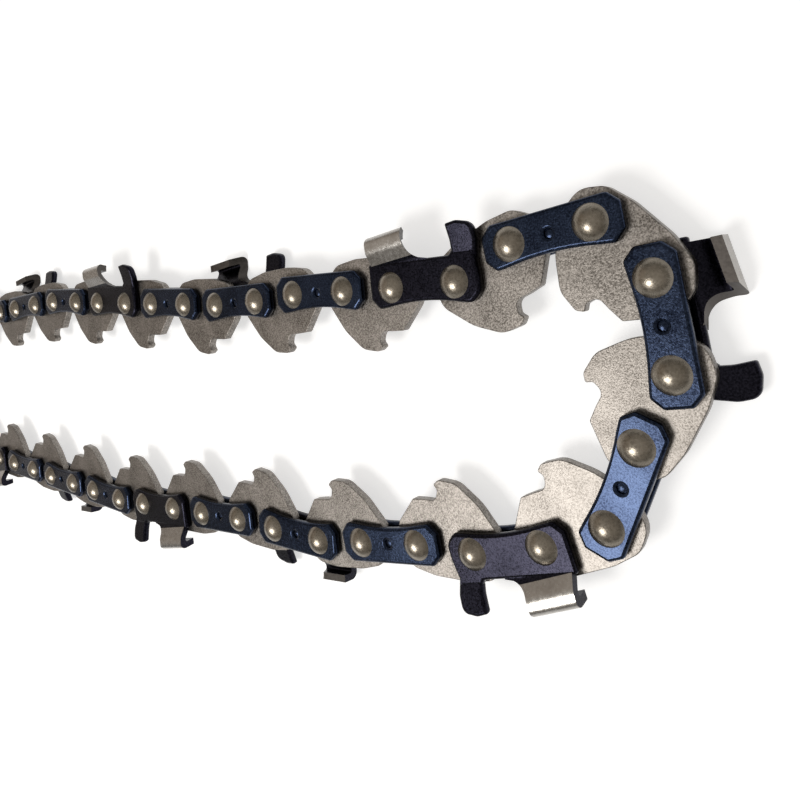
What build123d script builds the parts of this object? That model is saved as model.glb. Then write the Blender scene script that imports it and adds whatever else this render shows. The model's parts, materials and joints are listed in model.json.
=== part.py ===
from build123d import *
import os
from math import cos, radians, sin

# Saw chain of low-profile 3/8 inch pitch for a 15 cm bar, a closed loop lying on its side.
# Millimetres, +Z up. The rivets stand upright, and the loop's centre is the origin.
# Seen from above the chain travels clockwise. In a link's own frame +X points the way it
# travels, +Y points out of the loop and z = 0 is the chain's middle plane.

# The loop at rest
links_per_half = 14
drive_pitch = 8.7
plate_pitch = 9.9
first_heading = -1.8
# Degrees that the chain turns at each rivet of half the loop, left turns positive. Rivets that
# aren't named don't turn, and the last one takes what is left of the half turn.
# The other half is the same half turned round, so the loop closes whatever the pitches are.
rest_bends = {0: -5, 6: 4, 7: 3, 8: -4, 10: 1, 11: 25, 12: -18, 13: -54, 14: -37, 15: -35,
              16: 5, 17: -43, 18: -9, 19: -12, 20: 5, 22: -9, 24: 4}
half_turn = -180

# Drive link
drive_gauge = 1.3
drive_end_radius = 3.8
drive_end_from = 16
drive_end_to = 4
drive_crest = 4.2
drive_crest_length = 5.0
drive_shoulder = 3.6
drive_shoulder_reach = 1.55
drive_flank_depth = 2.2
drive_flank_reach = 3.5
heel_depth = 5.8
heel_reach = 0.55
gullet_radius = 3.2
gullet_reach = 2.7
hook_reach = 0.9
hook_depth = 7.8
tang_depth = 8.5
tang_back = -0.6
tang_slope_depth = 6.0
tang_slope_back = -5.3

# Plates on both sides of the drive links
side_play = 0.05
plate_thickness = 1.2
plate_end_reach = 3.5
plate_half_height = 2.75
plate_corner = 1.3
waist_depth = 0.45

# Rivets, with few sides because a loop has so many of them
head_sides = 8
hub_sides = 6
hub_diameter = 3.2
hub_clearance = 0.05
head_diameter = 3.9
head_height = 0.9

# Cutters
gullet_floor = 3.3
gauge_height = 7.1
gauge_length = 3.9
gauge_lean = 0.3
gauge_nose = 1.7
gauge_nose_radius = 2.6
cutting_corner = -0.9
crown_setback = 0.6
crown_thickness = 1.1
corner_reach = 3.35
corner_height = 6.3
corner_bevel = 1.2
top_height = 7.8
top_fall = 0.3
top_inner_end = 0.6
back_relief = 0.9
side_relief = 0.3
file_radius = 3.2
file_lead = 2.6
file_angle = 30

rivets_per_half = 2 * links_per_half
plate_inner = drive_gauge / 2 + side_play
plate_outer = plate_inner + plate_thickness
plate_end = plate_pitch / 2 + plate_end_reach


def rivet_path():
    """Return each rivet's place and the heading of the link that starts there."""
    bends = [rest_bends.get(rivet, 0) for rivet in range(rivets_per_half)]
    bends[-1] = half_turn - sum(bends[:-1])
    places = []
    headings = []
    heading = first_heading
    place = Vector(0, 0)
    for rivet in range(2 * rivets_per_half):
        if rivet > 0:
            heading += bends[rivet % rivets_per_half]
        places.append(place)
        headings.append(heading)
        pitch = plate_pitch if rivet % 2 == 0 else drive_pitch
        place += Vector(cos(radians(heading)), sin(radians(heading))) * pitch
    centre = (places[0] + places[rivets_per_half]) / 2
    return [place - centre for place in places], headings


def on_end(side, angle):
    """Return a point on a drive link's round end, which is centred on its rivet."""
    x = drive_pitch / 2 + drive_end_radius * cos(radians(angle))
    return (side * x, drive_end_radius * sin(radians(angle)))


def drive_link():
    """Return the middle link, whose tang runs in the guide bar's groove."""
    front = drive_pitch / 2
    middle_angle = (drive_end_from + drive_end_to) / 2
    gullet_end = (gullet_reach, -heel_depth)
    hook = (hook_reach, -hook_depth)
    front_flank = (front + drive_flank_reach, -drive_flank_depth)
    rear_flank = (-front - drive_flank_reach, -drive_flank_depth)
    shoulder = front + drive_shoulder_reach
    with BuildPart() as link:
        with BuildSketch():
            with BuildLine():
                crest = Polyline(
                    on_end(-1, drive_end_from),
                    (-shoulder, drive_shoulder),
                    (-drive_crest_length / 2, drive_crest),
                    (drive_crest_length / 2, drive_crest),
                    (shoulder, drive_shoulder),
                    on_end(1, drive_end_from),
                )
                ThreePointArc(crest @ 1, on_end(1, middle_angle), on_end(1, drive_end_to))
                Polyline(
                    on_end(1, drive_end_to),
                    front_flank,
                    (front + heel_reach, -heel_depth),
                    gullet_end,
                )
                RadiusArc(gullet_end, hook, -gullet_radius)
                Polyline(
                    hook,
                    (tang_back, -tang_depth),
                    (tang_slope_back, -tang_slope_depth),
                    rear_flank,
                    on_end(-1, drive_end_to),
                )
                ThreePointArc(on_end(-1, drive_end_to), on_end(-1, middle_angle), crest @ 0)
            make_face()
            with Locations((-front, 0), (front, 0)):
                RegularPolygon(
                    hub_diameter / 2 + hub_clearance,
                    hub_sides,
                    major_radius=False,
                    mode=Mode.SUBTRACT,
                )
        extrude(amount=drive_gauge / 2, both=True)
    return link.part


def plate(outer_edge):
    """Return a side plate below the given outer edge, which runs from its rear to its front end."""
    low = plate_corner - plate_half_height
    waist_end = plate_end - plate_corner
    # Half way to its end a shallow arc still has three quarters of its depth.
    waist_shoulder = 0.75 * waist_depth - plate_half_height
    with BuildPart() as flat:
        with BuildSketch(Plane.XY.offset(plate_inner)):
            with BuildLine():
                outer_edge()
                Polyline(
                    (plate_end, low),
                    (waist_end, -plate_half_height),
                    (waist_end / 2, waist_shoulder),
                    (0, waist_depth - plate_half_height),
                    (-waist_end / 2, waist_shoulder),
                    (-waist_end, -plate_half_height),
                    (-plate_end, low),
                )
            make_face()
        extrude(amount=plate_thickness)
    return flat.part


def strap_edge():
    """Draw a tie strap's straight outer edge with its cut corners."""
    low = plate_corner - plate_half_height
    Polyline(
        (-plate_end, low),
        (-plate_end, -low),
        (plate_corner - plate_end, plate_half_height),
        (plate_end - plate_corner, plate_half_height),
        (plate_end, -low),
        (plate_end, low),
    )


def cutter_edge():
    """Draw a cutter's outer edge: the gullet's floor, then the depth gauge at its front."""
    low = plate_corner - plate_half_height
    gauge_rear = plate_end - gauge_length
    nose_start = (plate_end - gauge_nose, gauge_height)
    nose_end = (plate_end, gauge_height - gauge_nose)
    Polyline(
        (-plate_end, low),
        (-plate_end, gullet_floor),
        (gauge_rear, gullet_floor),
        (gauge_rear + gauge_lean, gauge_height),
        nose_start,
    )
    RadiusArc(nose_start, nose_end, gauge_nose_radius)
    Line(nose_end, (plate_end, low))


def crown():
    """Return a cutter's crown: a side plate that leans out, then the top plate bent over.

    Its section stands on the slanted plane of the cutting edge and is drawn out to the rear,
    falling and narrowing on the way. The file then hollows its front.
    """
    slant = radians(file_angle)
    across = (sin(slant), 0, cos(slant))
    front = Plane((cutting_corner, 0, corner_reach), across, (-cos(slant), 0, sin(slant)))
    inner = plate_inner + side_relief
    outline = [
        (inner, 0),
        (plate_outer, 0),
        (plate_outer, gullet_floor),
        (corner_reach, corner_height - corner_bevel),
        (corner_reach, corner_height),
        (corner_reach - corner_bevel, top_height),
        (top_inner_end, top_height - top_fall),
        (top_inner_end, top_height - top_fall - crown_thickness),
        (corner_reach - corner_bevel - crown_thickness / 2, top_height - crown_thickness),
        (corner_reach - crown_thickness, corner_height - crown_thickness / 2),
        (inner, gullet_floor),
    ]
    with BuildSketch(front) as section:
        Polygon(*[((side - corner_reach) / cos(slant), up) for side, up in outline], align=None)
    rear = crown_setback - plate_end
    length = cutting_corner - rear
    blank = extrude(section.sketch, 2 * length, dir=(-length, -back_relief, -side_relief))
    blank = split(blank, Plane((rear, 0, 0), z_dir=(1, 0, 0)), keep=Keep.TOP)
    file_plane = Plane(front.origin, x_dir=(0, 1, 0), z_dir=-front.x_dir)
    file = Pos(gullet_floor + file_radius, file_lead) * Circle(file_radius)
    return blank - extrude(file_plane * file, 4 * corner_reach, both=True)


def cutter():
    """Return a cutter: foot, depth gauge and crown."""
    return plate(cutter_edge) + crown()


def rivet():
    """Return a rivet: the hub that a drive link turns on, and a domed head at each end."""
    hub = extrude(RegularPolygon(hub_diameter / 2, hub_sides), plate_inner, both=True)
    rim = Plane.XY.offset(plate_outer) * RegularPolygon(head_diameter / 2, head_sides)
    head = loft([rim.face(), Vertex(0, 0, plate_outer + head_height)])
    return [hub, head, mirror(head, Plane.XY)]


def riveted_link(near_plate, far_plate):
    """Return the two plates of a link joined by their two rivets, far side mirrored."""
    link = near_plate + mirror(far_plate, Plane.XY)
    for x in (-plate_pitch / 2, plate_pitch / 2):
        link += [Pos(x, 0, 0) * piece for piece in rivet()]
    return link


def main():
    """Place every link along the loop and write one file for each."""
    strap = plate(strap_edge)
    tooth = cutter()
    kinds = {
        "tie_link": riveted_link(strap, strap),
        "right_cutter_link": riveted_link(tooth, strap),
        "left_cutter_link": riveted_link(strap, tooth),
        "drive_link": drive_link(),
    }
    order = ["tie_link", "right_cutter_link", "tie_link", "left_cutter_link"]
    middle_height = -kinds["left_cutter_link"].bounding_box().min.Z
    places, headings = rivet_path()
    os.makedirs("parts", exist_ok=True)
    for rivet_number, start in enumerate(places):
        end = places[(rivet_number + 1) % len(places)]
        number = rivet_number // 2
        kind = order[number % len(order)] if rivet_number % 2 == 0 else "drive_link"
        middle = (start + end) / 2 + Vector(0, 0, middle_height)
        node = Location(middle, (0, 0, headings[rivet_number])) * kinds[kind]
        node.label = f"{kind}_{number + 1:02d}"
        export_step(node, f"parts/{node.label}.step")


if __name__ == "__main__":
    main()
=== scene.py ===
import json
from math import asin, atan2, cos, pi, radians, sin, sqrt, tan

import bmesh
import bpy
from mathutils import Matrix, Vector


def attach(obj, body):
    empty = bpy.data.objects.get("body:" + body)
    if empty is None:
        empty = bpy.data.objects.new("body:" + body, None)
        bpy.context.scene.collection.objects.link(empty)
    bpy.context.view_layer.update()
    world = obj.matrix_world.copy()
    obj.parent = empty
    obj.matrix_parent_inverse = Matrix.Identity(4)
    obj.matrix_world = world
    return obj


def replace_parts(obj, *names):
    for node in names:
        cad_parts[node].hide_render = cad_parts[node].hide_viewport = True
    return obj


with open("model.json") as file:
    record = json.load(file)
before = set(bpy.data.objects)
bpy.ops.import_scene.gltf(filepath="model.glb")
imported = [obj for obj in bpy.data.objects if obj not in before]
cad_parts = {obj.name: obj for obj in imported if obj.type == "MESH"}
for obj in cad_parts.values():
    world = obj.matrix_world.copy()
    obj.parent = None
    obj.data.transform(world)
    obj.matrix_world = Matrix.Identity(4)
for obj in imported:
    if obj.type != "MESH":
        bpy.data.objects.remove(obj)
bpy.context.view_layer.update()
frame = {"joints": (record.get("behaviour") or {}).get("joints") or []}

# A saw chain lying on its side. Sizes of links are in millimetres, and their meshes are scaled to
# metres. The stage, the lamps and the camera are in metres.
# In a link's own frame +X points the way the chain travels, +Y points out of the loop and z = 0 is
# the chain's middle plane. A corner of an outline is (x, y, radius of its rounding).
mm = 0.001

# Loop
links = 28
drive_pitch = 8.7
plate_pitch = 9.9

# Drive link, with the corners of its ends measured outwards from the rivet there
drive_gauge = 1.3
drive_edge = 0.1
hole_radius = 1.62
crest = (2.6, 4.25, 5.0)
shoulder = (1.7, 3.62, 2.2)
rear_end = (3.8, 1.6, 2.6)
rear_flank = (3.75, -1.8, 2.5)
tang_slope = (-5.4, -5.7, 6.0)
tang_rear = (-2.3, -8.3, 2.6)
tang_tip = (0.4, -8.6, 0.9)
hook_tip = (1.25, -7.95, 0.25)
hook_root = (0.75, -7.2, 0.5)
hook_gullet = (1.2, -5.75, 1.05)
gullet_front = (3.0, -5.85, 0.4)
heel = (0.55, -5.8, 0.4)
front_flank = (3.6, -2.2, 2.2)
front_end = (3.85, 1.4, 2.6)

# Plates
plate_inner = 0.7
plate_thickness = 1.2
plate_outer = plate_inner + plate_thickness
plate_edge = 0.4
plate_end_reach = 3.5
plate_end = plate_pitch / 2 + plate_end_reach
half_height = 2.75
plate_corner = 1.3
end_half_height = half_height - plate_corner
flat_half_length = plate_end - plate_corner
plate_end_round = 0.6
waist_margin = 0.6

# Tie strap, and the dimple in it, whose floor is given by (radius, depth) points
strap_waist = 0.65
strap_inner_round = 0.7
strap_outer_round = 0.8
dimple_radius = 0.5
dimple_floor = [(0, 0.28), (0.3, 0.3), (0.62, 0.42)]
dimple_pieces = 24

# Rivet
hub_radius = 1.55
head_radius = 2.05
head_height = 1.0
head_sink = 0.1

# Cutter's foot
gullet_floor = 3.3
gullet_ramp = 0.4
gullet_ramp_round = 0.5
foot_waist = 0.7
foot_rear_round = 0.3
foot_heel_round = 0.8
foot_toe_round = 1.2
foot_front_round = 1.3
foot_breast_height = 0.6
foot_breast_round = 1.0
throat_inset = 0.35
throat_height = 2.8
throat_round = 0.5

# Depth gauge, with its front corners measured from the plate's end and its rear ones from its rear
gauge_rear = 4.75
gauge_base = 3.7
gauge_bend = 0.25
gauge_root = 2.4
gauge_root_round = 0.3
gauge_breast = (0.2, 4.9, 2.0)
gauge_nose = (0, 6.9, 1.2)
gauge_top = (6.3, 7.35, 1.5)
gauge_back = (0, 7.1, 0.3)
gauge_hollow = (0.2, 5.0, 3.0)
seat_rise = 0.1
seat_round = 0.1
seat_front_inset = 0.3
seat_rear_inset = 0.05

# Cutter's crown
cutting_corner = -0.9
crown_setback = 0.6
crown_thickness = 1.1
crown_root = 0.6
crown_root_round = 0.9
outer_root_inset = 0.06
inner_root_inset = 0.05
inner_root_rise = 0.35
corner_reach = 3.35
corner_round = 1.0
inner_corner_drop = 0.1
inner_corner_round = 0.3
side_inset = 0.15
side_height = 5.6
side_round = 2.0
inner_side_height = 5.9
inner_side_round = 0.8
top_height = 7.8
top_fall = 0.3
top_inner_end = 0.6
back_relief = 0.9
side_relief = 0.3
file_radius = 3.2
file_lead = 2.6
file_angle = radians(30)
# The chrome starts this far above the gullet floor. Below it, the foot's dark finish runs up into the
# crease at the crown's root as painted shade.
painted_shade_band = 0.4
chrome_above_painted_shade = gullet_floor + painted_shade_band

# Meshes
edge_steps = 2
sharp_angle = radians(38)
same_place = 1e-6

# Finishes of a cutter, in the order of its materials
foot_finish, chrome_finish, ground_finish = range(3)

# Grain of metals
seed_spread = 20.0
grain_detail = 3.0
blotch_detail = 2.0
grain_span = (0.38, 0.62)
blotch_span = (0.35, 0.65)
rough_span = (0.3, 0.7)
relief_height = 0.05 * mm

# Stage
floor_reach = 3.0
wall_height = 1.0
floor_color = (0.6, 0.6, 0.6)
floor_roughness = 0.9
floor_glow = 0.62

# Light: the studio is bright overhead and dimmer towards the walls
studio_color = (1.0, 0.94, 0.87)
studio_heights = (0.2, 0.85)
studio_strengths = (0.1, 0.5)
lamp_target = (0.105, 0.0, 0.0)
key_place = (-0.03, -0.14, 0.34)
key_size = 0.14
key_power = 0.75
key_color = (1.0, 0.985, 0.96)
fill_place = (-0.5, 0.12, 0.28)
fill_size = 0.7
fill_power = 0.18
fill_color = (1.0, 0.72, 0.5)

# Camera, over the near end of the loop at the photo's angle
camera_place = (0.13815, 0.02223, 0.07427)
view_yaw = radians(184.4)
view_tilt = radians(51.96)
view_roll = radians(262.68)
focal_pixels = 678.8
image_pixels = 800
sensor_width = 36
camera_shift = -0.125
camera_near = 0.001


# Outlines

def rounded(corners, closed=True, step=radians(9)):
    """Return a path through (x, y, radius) corners, each rounded by an arc of its radius."""
    path = []
    count = len(corners)
    for index, (x, y, radius) in enumerate(corners):
        here = Vector((x, y))
        open_end = not closed and index in (0, count - 1)
        if open_end or radius == 0:
            path.append(here)
            continue
        before = (Vector(corners[index - 1][:2]) - here).normalized()
        after = (Vector(corners[(index + 1) % count][:2]) - here).normalized()
        half = before.angle(after) / 2
        centre = here + (before + after).normalized() * (radius / sin(half))
        start = here + before * (radius / tan(half)) - centre
        end = here + after * (radius / tan(half)) - centre
        sweep = atan2(start.cross(end), start.dot(end))
        pieces = max(2, round(abs(sweep) / step))
        for piece in range(pieces + 1):
            path.append(centre + Matrix.Rotation(sweep * piece / pieces, 2) @ start)
    return path


def spread(path, count, nearly_zero=1e-9):
    """Return points spaced evenly along a path."""
    lengths = [0]
    for start, end in zip(path, path[1:]):
        lengths.append(lengths[-1] + (end - start).length)
    places = []
    for index in range(count):
        goal = lengths[-1] * index / (count - 1)
        at = max(1, next(i for i, run in enumerate(lengths) if run >= goal - nearly_zero))
        share = (goal - lengths[at - 1]) / (lengths[at] - lengths[at - 1])
        places.append(path[at - 1].lerp(path[at], share))
    return places


def circle(x, y, radius, pieces=36):
    """Return a circle as a path that runs clockwise, for a hole."""
    angles = [-2 * pi * piece / pieces for piece in range(pieces)]
    return [Vector((x + radius * cos(angle), y + radius * sin(angle))) for angle in angles]


def ahead(corner, start):
    """Return a corner measured forwards from a start."""
    x, y, radius = corner
    return (start + x, y, radius)


def behind(corner, start):
    """Return a corner measured backwards from a start."""
    x, y, radius = corner
    return (start - x, y, radius)


def drive_outline():
    """Return a drive link's outline, counter-clockwise."""
    front = drive_pitch / 2
    return rounded([
        behind(crest, 0),
        behind(shoulder, -front),
        behind(rear_end, -front),
        behind(rear_flank, -front),
        tang_slope,
        tang_rear,
        tang_tip,
        hook_tip,
        hook_root,
        hook_gullet,
        gullet_front,
        ahead(heel, front),
        ahead(front_flank, front),
        ahead(front_end, front),
        ahead(shoulder, front),
        crest,
    ])


def waist(depth, steps=12):
    """Return the corners of a plate's hollow inner edge, from rear to front."""
    reach = flat_half_length - waist_margin
    shares = [2 * step / steps - 1 for step in range(1, steps)]
    return [(reach * share, depth * (1 - share ** 2) - half_height, 0) for share in shares]


def strap_outline():
    """Return a tie strap's outline, counter-clockwise: cut corners and a waisted inner edge."""
    return rounded([
        (-plate_end, end_half_height, plate_end_round),
        (-plate_end, -end_half_height, plate_end_round),
        (-flat_half_length, -half_height, strap_inner_round),
        *waist(strap_waist),
        (flat_half_length, -half_height, strap_inner_round),
        (plate_end, -end_half_height, plate_end_round),
        (plate_end, end_half_height, plate_end_round),
        (flat_half_length, half_height, strap_outer_round),
        (-flat_half_length, half_height, strap_outer_round),
    ])


def foot_outline():
    """Return a cutter's foot, counter-clockwise, with the depth gauge's seat at its front."""
    seat = gauge_base + seat_rise
    return rounded([
        (-plate_end, gullet_floor, foot_rear_round),
        (-plate_end, -end_half_height, plate_end_round),
        (-flat_half_length, -half_height, foot_heel_round),
        *waist(foot_waist),
        (flat_half_length, -half_height, foot_toe_round),
        (plate_end, -end_half_height, foot_front_round),
        (plate_end, foot_breast_height, foot_breast_round),
        (plate_end - throat_inset, throat_height, throat_round),
        (plate_end - seat_front_inset, seat, seat_round),
        (gauge_rear + seat_rear_inset, seat, seat_round),
        (gauge_rear - gullet_ramp, gullet_floor, gullet_ramp_round),
    ])


def gauge_outline():
    """Return a cutter's depth gauge, counter-clockwise, from below the line it is bent at."""
    return rounded([
        (gauge_rear, gauge_root, gauge_root_round),
        (plate_end - throat_inset, gauge_root, gauge_root_round),
        ahead(gauge_breast, plate_end),
        ahead(gauge_nose, plate_end),
        gauge_top,
        ahead(gauge_back, gauge_rear),
        ahead(gauge_hollow, gauge_rear),
    ])


def crown_section(count):
    """Return the outer and the inner face of a crown's section, each as (sideways, up) points."""
    outer = rounded([
        (plate_outer - outer_root_inset, crown_root, 0),
        (plate_outer - outer_root_inset, gullet_floor, crown_root_round),
        (corner_reach - side_inset, side_height, side_round),
        (corner_reach, top_height, corner_round),
        (top_inner_end, top_height - top_fall, 0),
    ], closed=False)
    inner = rounded([
        (plate_inner + inner_root_inset, crown_root, 0),
        (plate_inner + inner_root_inset, gullet_floor + inner_root_rise, crown_root_round),
        (corner_reach - side_inset - crown_thickness, inner_side_height, inner_side_round),
        (
            corner_reach - crown_thickness,
            top_height - crown_thickness - inner_corner_drop,
            inner_corner_round,
        ),
        (top_inner_end, top_height - crown_thickness - top_fall, 0),
    ], closed=False)
    return spread(outer, count), spread(inner, count)


# Meshes

def made_mesh(shape, name):
    """Return a finished shape as a mesh."""
    mesh = bpy.data.meshes.new(name)
    shape.to_mesh(mesh)
    shape.free()
    return mesh


def flat_mesh(outlines, low, high, edge):
    """Return a flat piece between two heights, its edges rounded."""
    curve = bpy.data.curves.new("outline", "CURVE")
    curve.dimensions = "2D"
    curve.fill_mode = "BOTH"
    curve.extrude = (high - low) / 2 - edge
    curve.bevel_depth = edge
    curve.bevel_resolution = edge_steps
    curve.offset = -edge
    for path in outlines:
        spline = curve.splines.new("POLY")
        spline.points.add(len(path) - 1)
        for point, place in zip(spline.points, path):
            point.co = (place.x, place.y, 0, 1)
        spline.use_cyclic_u = True
    holder = bpy.data.objects.new("outline", curve)
    mesh = bpy.data.meshes.new_from_object(holder)
    bpy.data.objects.remove(holder)
    mesh.transform(Matrix.Translation((0, 0, (low + high) / 2)))
    return mesh


def turned_mesh(profile, pieces=40):
    """Return a mesh turned about Z from (radius, height) points."""
    shape = bmesh.new()
    angles = [2 * pi * piece / pieces for piece in range(pieces)]
    rings = []
    for radius, height in profile:
        if radius == 0:
            rings.append([shape.verts.new((0, 0, height))])
            continue
        rings.append([shape.verts.new((radius * cos(a), radius * sin(a), height)) for a in angles])
    for low, high in zip(rings, rings[1:]):
        for piece in range(pieces):
            after = (piece + 1) % pieces
            corners = [low[piece % len(low)], low[after % len(low)]]
            corners += [high[after % len(high)], high[piece % len(high)]]
            # A ring of one point on the axis gives the same corner twice.
            shape.faces.new(list(dict.fromkeys(corners)))
    bmesh.ops.recalc_face_normals(shape, faces=shape.faces)
    return made_mesh(shape, "turned")


def joined(parts):
    """Return one mesh made of (mesh, place) parts."""
    shape = bmesh.new()
    for mesh, place in parts:
        copy = mesh.copy()
        copy.transform(place)
        if place.determinant() < 0:
            copy.flip_normals()
        shape.from_mesh(copy)
        bpy.data.meshes.remove(copy)
    return made_mesh(shape, "joined")


def drive_mesh():
    """Return a drive link with its two holes."""
    holes = [circle(x, 0, hole_radius) for x in (drive_pitch / 2, -drive_pitch / 2)]
    return flat_mesh([drive_outline(), *holes], -drive_gauge / 2, drive_gauge / 2, drive_edge)


def strap_mesh():
    """Return a near tie strap with its dimple."""
    hole = circle(0, 0, dimple_radius, dimple_pieces)
    plate = flat_mesh([strap_outline(), hole], plate_inner, plate_outer, plate_edge)
    floor_points = [(radius, plate_outer - depth) for radius, depth in dimple_floor]
    dimple = turned_mesh(floor_points, dimple_pieces)
    return joined([(plate, Matrix.Identity(4)), (dimple, Matrix.Identity(4))])


def rivet_mesh(steps=8):
    """Return one rivet: a hub and a round cap at each end."""
    cap_radius = (head_radius ** 2 + head_height ** 2) / (2 * head_height)
    rim_angle = asin(head_radius / cap_radius)
    cap_centre = plate_outer + head_height - cap_radius
    angles = [rim_angle * (1 - step / steps) for step in range(steps + 1)]
    cap = [(cap_radius * sin(angle), cap_centre + cap_radius * cos(angle)) for angle in angles]
    hub = [(hub_radius, 0), (hub_radius, plate_inner)]
    upper = [*hub, (head_radius, plate_outer - head_sink), *cap]
    lower = [(radius, -height) for radius, height in reversed(upper)]
    return turned_mesh(lower + upper[1:])


def gauge_mesh():
    """Return a near cutter's depth gauge, bent out above its base."""
    mesh = flat_mesh([gauge_outline()], plate_inner, plate_outer, plate_edge)
    for vert in mesh.vertices:
        vert.co.z += gauge_bend * (vert.co.y - gauge_base)
    return mesh


def file_cut(up, side):
    """Return how far forward the crown's front face stands at a height and a distance sideways."""
    above_centre = up - gullet_floor - file_radius
    hollow = file_lead - sqrt(max(0, file_radius ** 2 - above_centre ** 2))
    return cutting_corner + (hollow + (side - corner_reach) * sin(file_angle)) / cos(file_angle)


def crown_mesh(around=44, through=4, along=24):
    """Return a near cutter's crown: a side plate that leans out, then a top plate bent over.

    Rows go around its section, layers through its thickness and steps from its front to its rear.
    """
    outer, inner = crown_section(around)
    rear = crown_setback - plate_end
    length = cutting_corner - rear
    shape = bmesh.new()
    grid = {}
    for row in range(around):
        for layer in range(through + 1):
            side, up = outer[row].lerp(inner[row], layer / through)
            front = file_cut(up, side)
            for step in range(along + 1):
                share = step / along
                x = front + (rear - front) * share
                fall = max(0, cutting_corner - x) / length
                place = (x, up - back_relief * fall, side - side_relief * fall)
                grid[row, layer, step] = shape.verts.new(place)

    def quad(keys, finish):
        """Add a face between four places of the grid."""
        shape.faces.new([grid[key] for key in keys]).material_index = finish

    for row in range(around - 1):
        # Outer faces below the chrome's start take the foot's dark finish. The band of it just above the
        # gullet floor is painted shade in the crease.
        outside = chrome_finish if outer[row].y > chrome_above_painted_shade else foot_finish
        for step in range(along):
            for layer, finish in ((0, outside), (through, foot_finish)):
                quad([(row, layer, step), (row + 1, layer, step),
                      (row + 1, layer, step + 1), (row, layer, step + 1)], finish)
        for layer in range(through):
            for step, finish in ((0, ground_finish), (along, foot_finish)):
                quad([(row, layer, step), (row + 1, layer, step),
                      (row + 1, layer + 1, step), (row, layer + 1, step)], finish)
    for layer in range(through):
        for step in range(along):
            for row, finish in ((0, foot_finish), (around - 1, ground_finish)):
                quad([(row, layer, step), (row, layer + 1, step),
                      (row, layer + 1, step + 1), (row, layer, step + 1)], finish)
    bmesh.ops.remove_doubles(shape, verts=shape.verts, dist=same_place)
    # Places inside the crown are on no face.
    for vert in [v for v in shape.verts if not v.link_faces]:
        shape.verts.remove(vert)
    bmesh.ops.recalc_face_normals(shape, faces=shape.faces)
    return made_mesh(shape, "crown")


def finished(mesh, name, materials):
    """Return the mesh scaled to metres, smooth but for its real edges, with its materials."""
    mesh.name = name
    mesh.transform(Matrix.Scale(mm, 4))
    mesh.shade_smooth()
    mesh.set_sharp_from_angle(angle=sharp_angle)
    for made in materials:
        mesh.materials.append(made)
    return mesh


# Materials

def mapped(tree, source, span, goal):
    """Return a source's values, mapped from one span to another."""
    node = tree.nodes.new("ShaderNodeMapRange")
    for name, value in zip(("From Min", "From Max", "To Min", "To Max"), (*span, *goal)):
        node.inputs[name].default_value = value
    tree.links.new(source, node.inputs["Value"])
    return node.outputs["Result"]


def computed(tree, operation, first, second):
    """Return the result of an operation on an output and another output or a number."""
    node = tree.nodes.new("ShaderNodeMath")
    node.operation = operation
    tree.links.new(first, node.inputs[0])
    if isinstance(second, float):
        node.inputs[1].default_value = second
    else:
        tree.links.new(second, node.inputs[1])
    return node.outputs[0]


def metal(name, dark, light, roughness, grain, grain_share, relief, blotch):
    """Return a metal whose colour, roughness and relief vary with a fine grain and larger blotches."""
    made = bpy.data.materials.new(name)
    made.use_nodes = True
    tree = made.node_tree
    shader = tree.nodes["Principled BSDF"]
    shader.inputs["Metallic"].default_value = 1.0
    place = tree.nodes.new("ShaderNodeTexCoord")
    chance = tree.nodes.new("ShaderNodeObjectInfo")
    piece_seed = computed(tree, "MULTIPLY", chance.outputs["Random"], seed_spread)

    def noise(scale, detail):
        """Return a noise that differs from piece to piece."""
        node = tree.nodes.new("ShaderNodeTexNoise")
        node.noise_dimensions = "4D"
        node.inputs["Scale"].default_value = scale
        node.inputs["Detail"].default_value = detail
        tree.links.new(place.outputs["Object"], node.inputs["Vector"])
        tree.links.new(piece_seed, node.inputs["W"])
        return node.outputs["Fac"]

    fine = noise(grain, grain_detail)
    large = noise(blotch, blotch_detail)
    blotch_part = mapped(tree, large, blotch_span, (0.0, 1.0 - grain_share))
    grain_part = mapped(tree, fine, grain_span, (0.0, grain_share))
    tint = tree.nodes.new("ShaderNodeMix")
    tint.data_type = "RGBA"
    tint.inputs["A"].default_value = (*dark, 1)
    tint.inputs["B"].default_value = (*light, 1)
    tree.links.new(computed(tree, "ADD", blotch_part, grain_part), tint.inputs["Factor"])
    tree.links.new(tint.outputs["Result"], shader.inputs["Base Color"])
    tree.links.new(mapped(tree, fine, rough_span, roughness), shader.inputs["Roughness"])
    bump = tree.nodes.new("ShaderNodeBump")
    bump.inputs["Strength"].default_value = relief
    bump.inputs["Distance"].default_value = relief_height
    tree.links.new(fine, bump.inputs["Height"])
    tree.links.new(bump.outputs["Normal"], shader.inputs["Normal"])
    return made


drive_steel = metal(
    "drive_steel",
    dark=(0.085, 0.076, 0.067),
    light=(0.37, 0.343, 0.316),
    roughness=(0.34, 0.48),
    grain=5800,
    grain_share=0.75,
    relief=0.5,
    blotch=260,
)
blued_steel = metal(
    "blued_steel",
    dark=(0.0065, 0.009, 0.018),
    light=(0.036, 0.05, 0.088),
    roughness=(0.2, 0.3),
    grain=5200,
    grain_share=0.65,
    relief=0.3,
    blotch=260,
)
foot_steel = metal(
    "foot_steel",
    dark=(0.0045, 0.0045, 0.007),
    light=(0.024, 0.0235, 0.035),
    roughness=(0.24, 0.34),
    grain=5600,
    grain_share=0.75,
    relief=0.35,
    blotch=260,
)
chrome = metal(
    "chrome",
    dark=(0.34, 0.322, 0.30),
    light=(0.48, 0.465, 0.443),
    roughness=(0.19, 0.3),
    grain=2600,
    grain_share=0.4,
    relief=0.15,
    blotch=300,
)
ground_steel = metal(
    "ground_steel",
    dark=(0.06, 0.054, 0.05),
    light=(0.11, 0.10, 0.092),
    roughness=(0.34, 0.5),
    grain=3000,
    grain_share=0.4,
    relief=0.3,
    blotch=300,
)
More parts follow.
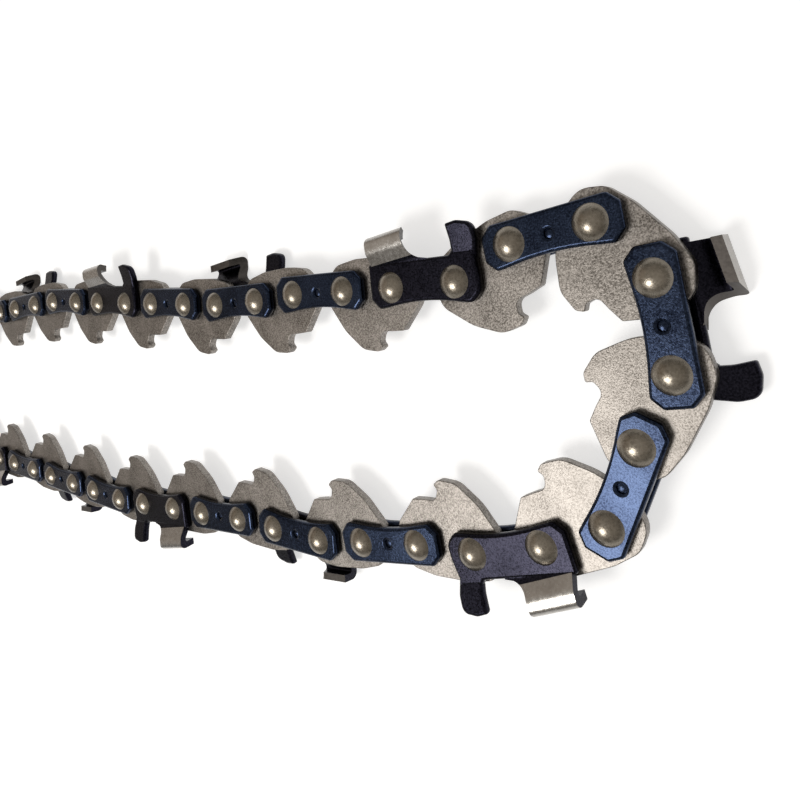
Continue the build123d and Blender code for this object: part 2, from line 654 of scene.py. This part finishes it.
rivet_steel = metal(
    "rivet_steel",
    dark=(0.19, 0.167, 0.135),
    light=(0.32, 0.287, 0.24),
    roughness=(0.24, 0.33),
    grain=4200,
    grain_share=0.5,
    relief=0.25,
    blotch=350,
)


# Pieces of a link

strap = strap_mesh()
foot = flat_mesh([foot_outline()], plate_inner, plate_outer, plate_edge)
cutter_parts = [foot, gauge_mesh(), crown_mesh()]
rivet_shifts = [Matrix.Translation((x, 0, 0)) for x in (-plate_pitch / 2, plate_pitch / 2)]
rivet_pair = joined([(rivet_mesh(), shift) for shift in rivet_shifts])
meshes = {
    "drive": finished(drive_mesh(), "drive_link", [drive_steel]),
    "rivets": finished(rivet_pair, "rivets", [rivet_steel]),
}
sides = {"near": Matrix.Identity(4), "far": Matrix.Scale(-1, 4, (0, 0, 1))}
for side, place in sides.items():
    name = f"{side}_strap"
    meshes[name] = finished(joined([(strap, place)]), name, [blued_steel])
    name = f"{side}_cutter"
    cutter = joined([(part, place) for part in cutter_parts])
    meshes[name] = finished(cutter, name, [foot_steel, chrome, ground_steel])


# The chain

pivots = {joint["name"]: Vector(joint["pos_m"]) for joint in frame["joints"]}


def rivet_place(number):
    """Return a rivet's place. The open pivot has no joint and lies opposite its own twin."""
    number %= 2 * links
    name = f"pivot_{number + 1:02d}"
    if name in pivots:
        return pivots[name]
    twin = pivots[f"pivot_{(number + links) % (2 * links) + 1:02d}"]
    return Vector((-twin.x, -twin.y, twin.z))


def put(mesh, name, body, start, end):
    """Place a piece between two rivets and let it ride on its body."""
    run = end - start
    turn = Matrix.Rotation(atan2(run.y, run.x), 4, "Z")
    piece = bpy.data.objects.new(name, mesh)
    bpy.context.scene.collection.objects.link(piece)
    piece.matrix_world = Matrix.Translation((start + end) / 2) @ turn
    bpy.context.view_layer.update()
    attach(piece, body)
    return piece


plates = [
    ("tie_link", "near_strap", "far_strap", "blued_steel"),
    ("right_cutter_link", "near_cutter", "far_strap", "cutter_steel"),
    ("tie_link", "near_strap", "far_strap", "blued_steel"),
    ("left_cutter_link", "near_strap", "far_cutter", "cutter_steel"),
]
for number in range(links):
    kind, near, far, slot = plates[number % len(plates)]
    label = f"{number + 1:02d}"
    start = rivet_place(2 * number)
    end = rivet_place(2 * number + 1)
    after = rivet_place(2 * number + 2)
    node = f"{kind}_{label}"
    put(meshes["rivets"], f"rivets_{label}", node, start, end)
    put(meshes[far], f"{far}_{label}", node, start, end)
    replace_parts(put(meshes[near], f"{near}_{label}", node, start, end), node)
    node = f"drive_link_{label}"
    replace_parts(put(meshes["drive"], f"drive_{label}", node, end, after), node)


# Stage, light and camera

def floor_material():
    """Return a grey whose glow makes it white to the camera and in the metal, and lights nothing else."""
    made = bpy.data.materials.new("floor")
    made.use_nodes = True
    tree = made.node_tree
    shader = tree.nodes["Principled BSDF"]
    shader.inputs["Base Color"].default_value = (*floor_color, 1)
    shader.inputs["Roughness"].default_value = floor_roughness
    shader.inputs["Specular IOR Level"].default_value = 0.0
    shader.inputs["Emission Color"].default_value = (1, 1, 1, 1)
    ray_kind = tree.nodes.new("ShaderNodeLightPath").outputs
    seen = computed(tree, "MAXIMUM", ray_kind["Is Camera Ray"], ray_kind["Is Glossy Ray"])
    seen = computed(tree, "MAXIMUM", seen, ray_kind["Is Transmission Ray"])
    glow = computed(tree, "MULTIPLY", seen, floor_glow)
    tree.links.new(glow, shader.inputs["Emission Strength"])
    return made


def floor_mesh():
    """Return a floor with a wall round it, so that low views have a pale background too."""
    corners = [(-1, -1), (1, -1), (1, 1), (-1, 1)]
    heights = (0, wall_height)
    points = [(x * floor_reach, y * floor_reach, z) for z in heights for x, y in corners]
    count = len(corners)
    faces = [range(count)]
    for side in range(count):
        after = (side + 1) % count
        faces.append((side, after, after + count, side + count))
    mesh = bpy.data.meshes.new("floor")
    mesh.from_pydata(points, [], faces)
    mesh.materials.append(floor_material())
    return mesh


def lamp(name, place, size, power, color):
    """Add a square soft light that faces the near end of the loop."""
    light = bpy.data.lights.new(name, "AREA")
    light.size = size
    light.energy = power
    light.color = color
    holder = bpy.data.objects.new(name, light)
    holder.location = place
    aim = Vector(lamp_target) - Vector(place)
    holder.rotation_euler = aim.to_track_quat("-Z", "Y").to_euler()
    bpy.context.scene.collection.objects.link(holder)


floor = bpy.data.objects.new("floor", floor_mesh())
bpy.context.scene.collection.objects.link(floor)

world = bpy.data.worlds.new("studio")
bpy.context.scene.world = world
world.use_nodes = True
studio = world.node_tree
background = studio.nodes["Background"]
direction = studio.nodes.new("ShaderNodeTexCoord")
height = studio.nodes.new("ShaderNodeSeparateXYZ")
studio.links.new(direction.outputs["Generated"], height.inputs["Vector"])
brightness = mapped(studio, height.outputs["Z"], studio_heights, studio_strengths)
background.inputs["Color"].default_value = (*studio_color, 1)
studio.links.new(brightness, background.inputs["Strength"])

lamp("key", key_place, key_size, key_power, key_color)
lamp("fill", fill_place, fill_size, fill_power, fill_color)

upright = Vector((0, 0, 1))
heading = Vector((cos(view_yaw), sin(view_yaw), 0))
forward = cos(view_tilt) * heading - sin(view_tilt) * upright
level = forward.cross(upright).normalized()
rise = level.cross(forward)
right = cos(view_roll) * level + sin(view_roll) * rise
up = cos(view_roll) * rise - sin(view_roll) * level
camera_data = bpy.data.cameras.new("camera")
camera_data.sensor_width = sensor_width
camera_data.lens = focal_pixels / image_pixels * sensor_width
camera_data.shift_y = camera_shift
camera_data.clip_start = camera_near
camera = bpy.data.objects.new("camera", camera_data)
camera_turn = Matrix((right, up, -forward)).transposed()
camera.matrix_world = Matrix.Translation(camera_place) @ camera_turn.to_4x4()
bpy.context.scene.collection.objects.link(camera)
bpy.context.scene.camera = camera
bpy.context.scene.view_settings.view_transform = "Standard"

bpy.context.view_layer.update()
